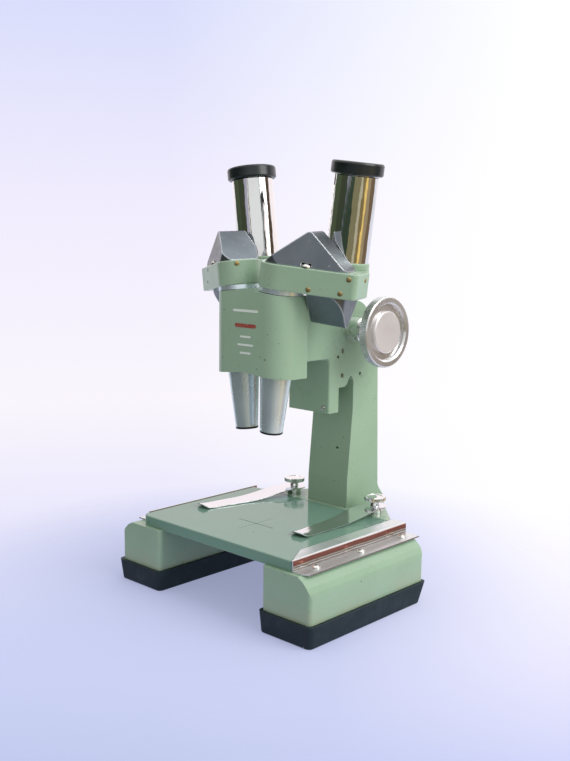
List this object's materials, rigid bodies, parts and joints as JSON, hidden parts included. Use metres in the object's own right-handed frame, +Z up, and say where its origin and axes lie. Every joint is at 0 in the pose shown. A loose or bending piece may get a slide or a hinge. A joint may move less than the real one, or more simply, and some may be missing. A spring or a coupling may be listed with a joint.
{
  "type": "stereo microscope",
  "caption": "Stereo microscope on a U-shaped stand with rack focus, tilted objective cones, swinging prism heads, chrome eyepiece tubes and a clipped stage.",
  "frame": {"origin": "on the bench, under the middle of the whole object", "axes": "+Z up, +X to the user's right, -Y towards the user"},
  "size_m": [0.158, 0.1418, 0.2528],
  "materials": {
    "green_enamel": "glossy sage-green enamel",
    "stage_enamel": "high-gloss green enamel",
    "boot_rubber": "matt black rubber",
    "rail_steel": "bright sheet steel, slightly stained",
    "clip_steel": "polished spring steel",
    "polished_chrome": "polished chrome plate",
    "satin_chrome": "satin plating, turned face",
    "turned_alloy": "satin, fine turning marks",
    "knob_inlay": "turned disc",
    "cast_cover": "grey cast alloy with bright worn edges",
    "black_metal": "satin black",
    "black_plastic": "satin black",
    "screw_steel": "bright steel",
    "bare_brass": "tarnished",
    "lens_glass": "coated optical glass"
  },
  "bodies": {
    "stand": {"base_casting": "green_enamel", "column": "green_enamel", "column_bolts": "screw_steel", "boot_left": "boot_rubber", "boot_right": "boot_rubber", "stage_plate": "stage_enamel", "rail_left": "rail_steel", "rail_right": "rail_steel", "rail_screws": "screw_steel", "clip_collar_left": "polished_chrome", "clip_collar_right": "polished_chrome", "gib": "bare_brass", "gib_screws": "screw_steel", "pinion_bush_left": "polished_chrome", "pinion_bush_right": "polished_chrome"},
    "focus_carriage": {"carriage": "green_enamel", "carriage_screw": "screw_steel", "rack": "screw_steel", "head_body": "green_enamel", "objective_cone_left": "turned_alloy", "objective_cone_right": "turned_alloy", "objective_ring_left": "black_metal", "objective_ring_right": "black_metal", "objective_lens_left": "lens_glass", "objective_lens_right": "lens_glass"},
    "focus_drive": {"pinion_shaft": "screw_steel", "focus_knob_left": "satin_chrome", "focus_knob_right": "satin_chrome", "knob_disc_left": "knob_inlay", "knob_disc_right": "knob_inlay"},
    "prism_head_left": {"pivot_ring_left": "turned_alloy", "prism_plate_left": "green_enamel", "plate_screws_left": "bare_brass", "cover_screw_left": "screw_steel", "upper_cover_left": "cast_cover", "lower_cover_left": "cast_cover", "upper_prism_left": "lens_glass", "lower_prism_left": "lens_glass", "tube_collar_left": "green_enamel", "eyepiece_tube_left": "polished_chrome"},
    "eyepiece_left": {"eyepiece_barrel_left": "turned_alloy", "eyecup_left": "black_plastic", "eye_lens_left": "lens_glass"},
    "clip_left": {"stage_clip_left": "clip_steel"},
    "clip_knob_left": {"clip_thumbscrew_left": "polished_chrome"},
    "prism_head_right": {"pivot_ring_right": "turned_alloy", "prism_plate_right": "green_enamel", "plate_screws_right": "bare_brass", "cover_screw_right": "screw_steel", "upper_cover_right": "cast_cover", "lower_cover_right": "cast_cover", "upper_prism_right": "lens_glass", "lower_prism_right": "lens_glass", "tube_collar_right": "green_enamel", "eyepiece_tube_right": "polished_chrome"},
    "eyepiece_right": {"eyepiece_barrel_right": "turned_alloy", "eyecup_right": "black_plastic", "eye_lens_right": "lens_glass"},
    "clip_right": {"stage_clip_right": "clip_steel"},
    "clip_knob_right": {"clip_thumbscrew_right": "polished_chrome"}
  },
  "joints": [
    {"name": "focus_travel", "type": "slide", "parent": "stand", "child": "focus_carriage", "axis": [0, 0, 1], "range_m": [-0.01, 0.03]},
    {"name": "focus_turn", "type": "hinge", "parent": "stand", "child": "focus_drive", "pos_m": [0, 0.0359, 0.1545], "axis": [1, 0, 0], "range_deg": [-266, 90]},
    {"name": "eye_spacing_right", "type": "hinge", "parent": "focus_carriage", "child": "prism_head_right", "pos_m": [0.0183, -0.0289, 0.1952], "axis": [0.1288, 0, 0.9917], "range_deg": [0, 20]},
    {"name": "eye_spacing_left", "type": "hinge", "parent": "focus_carriage", "child": "prism_head_left", "pos_m": [-0.0183, -0.0289, 0.1952], "axis": [-0.1288, 0, 0.9917], "range_deg": [-20, 0]},
    {"name": "eyepiece_pull_right", "type": "slide", "parent": "prism_head_right", "child": "eyepiece_right", "axis": [0.1288, 0, 0.9917], "range_m": [0, 0.025]},
    {"name": "eyepiece_pull_left", "type": "slide", "parent": "prism_head_left", "child": "eyepiece_left", "axis": [-0.1288, 0, 0.9917], "range_m": [0, 0.025]},
    {"name": "clip_swing_right", "type": "hinge", "parent": "stand", "child": "clip_right", "pos_m": [0.0335, 0.0388, 0.0466], "axis": [0, 0, 1], "range_deg": [-27, 8]},
    {"name": "clip_swing_left", "type": "hinge", "parent": "stand", "child": "clip_left", "pos_m": [-0.0335, 0.0388, 0.0466], "axis": [0, 0, 1], "range_deg": [-6, 27]},
    {"name": "clip_screw_turn_right", "type": "hinge", "parent": "stand", "child": "clip_knob_right", "pos_m": [0.0335, 0.0388, 0.05], "axis": [0, 0, 1], "range_deg": [0, 270]},
    {"name": "clip_screw_turn_left", "type": "hinge", "parent": "stand", "child": "clip_knob_left", "pos_m": [-0.0335, 0.0388, 0.05], "axis": [0, 0, 1], "range_deg": [0, 270]}
  ],
  "couplings": [
    {"joint": "focus_turn", "follows": "focus_travel", "rad_per_m": -153.85}
  ]
}
